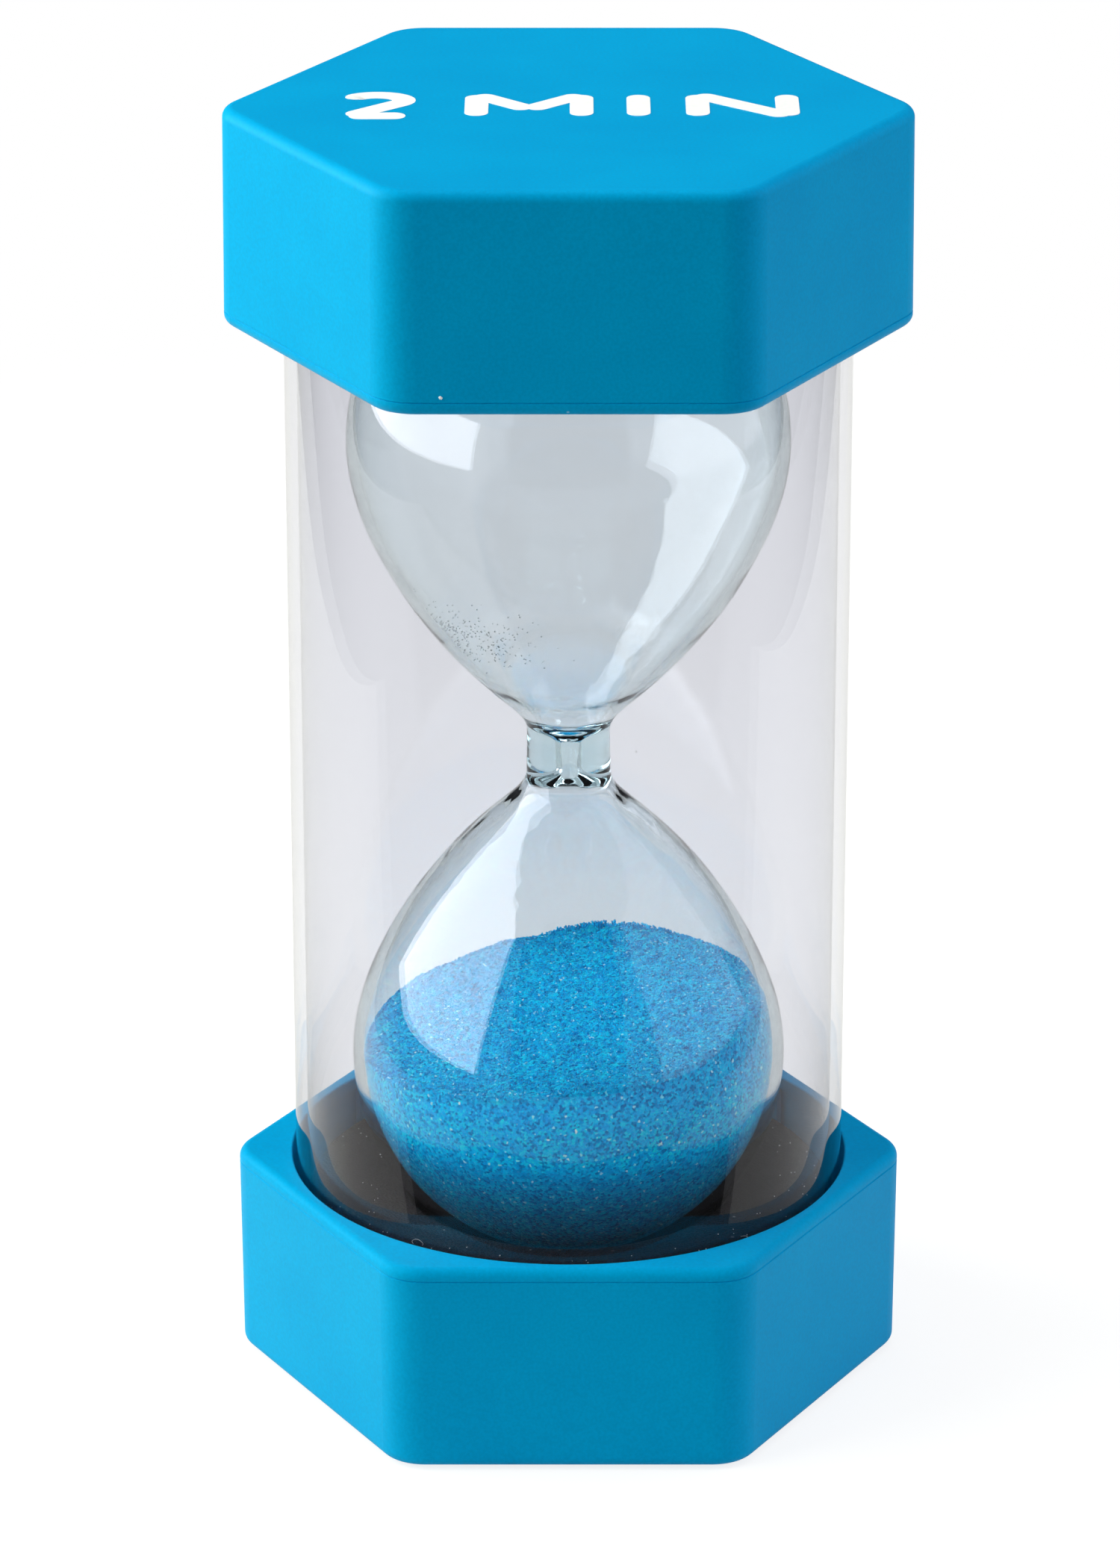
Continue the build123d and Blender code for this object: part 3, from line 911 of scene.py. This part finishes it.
DUST, SPECKS = dust_in_upper_bulb(300, 91), specks_on_foam(150, 93)
new_piece("dust_in_upper_bulb", stones(DUST, 0.2 * MM, 92), LINT)
new_piece("specks_on_foam", stones(SPECKS, 0.16 * MM, 94), LINT, smooth=False)
new_piece("nick_on_top_cap", stones(CAP_NICK, 0.55 * MM, 95), INK, smooth=False)
for name, angle, radius, heading, length, bend in (
    ("hair_on_foam_1", 226, 27.5, 1.9, 3.4, -4.2),
    ("hair_on_foam_2", 318, 29.0, 0.4, 2.6, 2.6),
    ("hair_on_foam_3", 252, 31.0, 3.3, 1.8, 1.5),
):
    start = polar(radius * MM, np.radians(angle), FOAM_FACE)
    new_piece(name, hair(start, heading, length * MM, bend), LINT)

# %% [markdown]
# ## Printed mark
#
# The running time is printed in white on the top cap. This mark is drawn for this model: plain
# round-ended strokes that say two minutes. Each stroke is a flat section carried along its
# line, and its width follows a half circle at both ends.

# %% Printed mark
PRINT_WIDTH, PRINT_HEIGHT = 54.7 * MM, 11.8 * MM
STROKE = 2.8 * MM
INK_THICKNESS = 0.03 * MM
LIFT = 0.004 * MM


def straight(*corners):
    """Straight strokes of 24 points, one from each corner to the next."""
    share = np.linspace(0, 1, 24)[:, None]
    corners = np.array(corners)
    return [one * (1 - share) + two * share for one, two in zip(corners, corners[1:])]


def ink_stroke(path, lift):
    """A flat section carried along the path. Its half width is the root of r^2 - (r - s)^2 for a
    distance s from either end that is less than r, so both ends are round. lift keeps its top clear
    of the strokes before it."""
    along = np.concatenate([[0], np.cumsum(np.linalg.norm(np.diff(path, axis=0), axis=1))])
    round_end = STROKE / 2 * (1 - np.cos(np.linspace(0, np.pi / 2, 9)))
    parts = [np.linspace(0, along[-1], 48), round_end, along[-1] - round_end]
    fine = np.unique(np.concatenate(parts))
    line = np.stack([np.interp(fine, along, path[:, i]) for i in (0, 1)], -1)
    ahead = np.gradient(line, axis=0)
    side = np.stack([-ahead[:, 1], ahead[:, 0]], -1) / np.linalg.norm(ahead, axis=1, keepdims=True)
    end = np.minimum(np.minimum(fine, along[-1] - fine), STROKE / 2)
    half = np.sqrt((STROKE / 2) ** 2 - (STROKE / 2 - end) ** 2)[1:-1, None]
    left, right = line[1:-1] + side[1:-1] * half, line[1:-1] - side[1:-1] * half
    low, high = TOP_FACE - INK_THICKNESS / 3, TOP_FACE + INK_THICKNESS + lift
    corners = [(left, low), (left, high), (right, high), (right, low)]
    rings = np.stack([np.column_stack([side, np.full(len(side), z)]) for side, z in corners], 1)
    return skin(rings, first=(*line[0], high), last=(*line[-1], high))


def two_minutes():
    """The strokes of the mark, laid out in a box that is PRINT_WIDTH wide and PRINT_HEIGHT high."""
    h, w = (PRINT_HEIGHT - STROKE) / 2, (PRINT_WIDTH - STROKE) / 2
    bow = np.radians(np.linspace(168, -42, 48))
    wide, high = 3.2 * MM, 0.5 * h
    hook = np.stack([-w + wide * (1 + np.cos(bow)), h - high + high * np.sin(bow)], -1)
    slant, foot = straight(hook[-1], (-w, -h), (-w + 2.1 * wide, -h))
    two = [np.concatenate([hook, slant[1:]]), foot]
    em_left, em_right = -0.42 * w, 0.06 * w
    em_middle = (em_left + em_right) / 2
    valley = (em_middle, -0.35 * h)
    em = straight((em_left, -h), (em_left, h), valley, (em_right, h), (em_right, -h))
    bar = straight((0.32 * w, -h), (0.32 * w, h))
    en_left = 0.59 * w
    en = straight((en_left, -h), (en_left, h), (w, -h), (w, h))
    return two + em + bar + en


def joined(shapes):
    """Several skins as one: each one's faces count on from the points before it."""
    starts = np.cumsum([0] + [len(points) for points, _, _ in shapes[:-1]])
    return (np.concatenate([s[0] for s in shapes]),
            np.concatenate([s[1] + start for s, start in zip(shapes, starts)]),
            np.concatenate([s[2] + start for s, start in zip(shapes, starts)]))


strokes = [outward(*ink_stroke(path, i * LIFT)) for i, path in enumerate(two_minutes())]
new_piece("printed_mark", joined(strokes), INK, smooth=False)

# %% [markdown]
# ## Floor and light
#
# The timer stands on a white table. A strong soft box lights it from the left, a weaker one from
# the right and a third from above, and a pale card in front brightens the sand. Everything shiny
# mirrors the boxes, so their places matter as much as their strength. The table ends about 30 cm
# to each side, and what the barrel mirrors of that edge draws its soft grey tongues. A wide white
# floor that only straight rays see keeps every view plain, and takes the timer's shadow.


# %% Table and floor
def turned_by_matt(r):
    """1 for a ray that something matt has turned back on its way, 0 for any other."""
    turns = r.add("LightPath").outputs["Diffuse Depth"]
    return r.add("Math", {0: turns, 1: 1.0}, operation="MINIMUM").outputs[0]


def bounced(r):
    """1 for a ray that something matt or shiny has turned back on its way, 0 for one that came
    straight, or only bent by glass."""
    path = r.add("LightPath").outputs
    depths = {0: path["Diffuse Depth"], 1: path["Glossy Depth"]}
    return r.add("Math", depths, use_clamp=True).outputs[0]


def pale_matt(r, share, near, far, glow):
    """A matt shader whose tone runs from near to far with a share, with a glow of its own."""
    return r.add("BsdfPrincipled", {
        "Base Color": r.ramp(share, [(0.0, grey(near)), (1.0, grey(far))]),
        "Roughness": 0.7,
        "Specular IOR Level": 0.0,
        "Emission Color": WHITE,
        "Emission Strength": glow,
    })


def table_top(name, near, start, end, glow):
    """A pale table whose tone rises from near between two distances back from the timer's axis. The
    darker front is painted shade, for the dim front of the room, and glow is painted light of its own.
    """
    r = Recipe(name)
    share = r.share(r.coordinate("Y"), start, end)
    return r.finish(pale_matt(r, share, near, TABLE_TONE, glow))


def shadow_floor(name, base, glow):
    """A white floor that takes shadows close to the timer, where it's partly matt, and only glows
    further out. A bounced ray goes through it."""
    r = Recipe(name)
    away = r.add("VectorMath", {0: r.place()}, operation="LENGTH").outputs["Value"]
    share = r.share(away, SHADOW_NEAR, SHADOW_FAR)
    floor = pale_matt(r, share, base, 0, r.spread(share, glow, 1.0))
    return r.finish(r.either(bounced(r), floor, r.add("BsdfTransparent")))


def flat_sheet(name, x, y, height, material, seen_by):
    """One level rectangle of the stage over two ranges in metres, and the kinds of ray that see it."""
    mesh = bpy.data.meshes.new(name)
    outline = ((x[0], y[0]), (x[1], y[0]), (x[1], y[1]), (x[0], y[1]))
    mesh.from_pydata([(*corner, height) for corner in outline], [], [(0, 1, 2, 3)])
    mesh.materials.append(material)
    sheet = bpy.data.objects.new(name, mesh)
    bpy.context.scene.collection.objects.link(sheet)
    for kind in ("camera", "diffuse", "glossy", "transmission", "volume_scatter", "shadow"):
        setattr(sheet, f"visible_{kind}", kind in seen_by)
    return sheet


TABLE_SIDES, TABLE_FRONT, TABLE_BACK, TABLE_DROP = (-0.29, 0.306), -0.35, 0.9, -0.002
TABLE_TONE, MIRRORED_FRONT = 0.86, -0.05
FLOOR_SIDES, FLOOR_DROP = (-6, 6), -0.0003
SHADOW_NEAR, SHADOW_FAR = 0.15, 0.42
flat_sheet("table", TABLE_SIDES, (TABLE_FRONT, TABLE_BACK), TABLE_DROP,
           table_top("white table", 0.28, -0.30, 0.03, 0.0), ("diffuse",))
flat_sheet("mirrored_table", TABLE_SIDES, (MIRRORED_FRONT, TABLE_BACK), TABLE_DROP,
           table_top("white table in mirrors", 0.3, MIRRORED_FRONT, 0.02, 0.34),
           ("glossy", "transmission"))
flat_sheet("wide_floor", FLOOR_SIDES, FLOOR_SIDES, FLOOR_DROP,
           shadow_floor("white floor", 0.26, 0.80), ("camera", "transmission"))


# %% Lights
def glowing_sheet(name, centre, target, width, height, mirrored, on_sand):
    """A sheet turned to a target that straight rays pass through. Glass and gloss mirror it with one
    radiance; light from it that the glass bends onto the sand has the other."""
    r = Recipe(f"glow of {name}")
    glow = r.add("Emission", {"Strength": r.spread(turned_by_matt(r), mirrored, on_sand)})
    material = r.finish(r.either(bounced(r), r.add("BsdfTransparent"), glow))
    wide, high = (-width / 2, width / 2), (-height / 2, height / 2)
    sheet = flat_sheet(name, wide, high, 0, material, ("glossy", "transmission"))
    turn = (Vector(target) - Vector(centre)).to_track_quat("-Z", "Y")
    sheet.data.transform(Matrix.Translation(centre) @ turn.to_matrix().to_4x4())


def soft_box(name, centre, target, width, height, radiance, mirrored, on_sand, colour):
    """A rectangular lamp for matt surfaces, whose power is its radiance times pi times its area, and
    a glowing sheet in the same place for glass, gloss and sand."""
    lamp = bpy.data.lights.new(name, "AREA")
    lamp.shape = "RECTANGLE"
    lamp.size, lamp.size_y = width, height
    lamp.energy = radiance * math.pi * width * height
    lamp.color = colour
    box = bpy.data.objects.new(name, lamp)
    box.location = centre
    box.rotation_euler = (Vector(target) - Vector(centre)).to_track_quat("-Z", "Y").to_euler()
    box.visible_camera = box.visible_glossy = box.visible_transmission = False
    bpy.context.scene.collection.objects.link(box)
    glowing_sheet(f"{name}_face", centre, target, width, height, mirrored, on_sand)


PALE, WARM = (1, 1, 1), (1, 1, 0.83)
soft_box("left_box", (-0.55, -0.035, 0.42), (0, -0.035, 0.42), 0.85, 0.66, 4.8, 5.8, 6.0, WARM)
soft_box("right_box", (0.60, -0.10, 0.42), (0, -0.10, 0.42), 0.80, 0.74, 1.6, 1.2, 2.2, PALE)
soft_box("overhead", (0, 0.1, 1.3), (0, 0, 0), 1.0, 1.0, 2.3, 1.5, 2.3, PALE)
glowing_sheet("front_card", (0, -0.50, 0.30), (0, 0, 0.10), 0.70, 0.55, 0.08, 2.6)
print("lamps:", ", ".join(light.name for light in bpy.data.lights))

# %% [markdown]
# ## Surroundings
#
# Straight rays see plain white. A ray that something has turned back sees a room: dim for matt
# surfaces, almost black for shiny ones, which keeps the blues deep, and pale for rays that leave
# the glass, so that its outlines stay thin and light. Each is even in every direction: what
# differs by direction is on the sheets of the stage.

# %% Surroundings
def room(r, red, green, blue, strength):
    """A plain background, the same in every direction."""
    return r.add("Background", {"Color": (red, green, blue, 1), "Strength": strength})


r = Recipe("studio", bpy.data.worlds, "OutputWorld")
matt = turned_by_matt(r)
outside = r.either(matt, room(r, 0.93, 0.95, 1.0, 0.06), room(r, 0.9, 0.93, 1.0, 0.15))
through_glass = r.either(matt, room(r, 0.93, 0.97, 1.0, 0.85), room(r, 0.92, 0.96, 1.0, 0.4))
leaves_glass = r.add("LightPath").outputs["Is Transmission Ray"]
turned_back = r.either(leaves_glass, outside, through_glass)
straight_on = room(r, 1, 1, 1, 1.0)
bpy.context.scene.world = r.finish(r.either(bounced(r), straight_on, turned_back))
print("world:", bpy.context.scene.world.name)
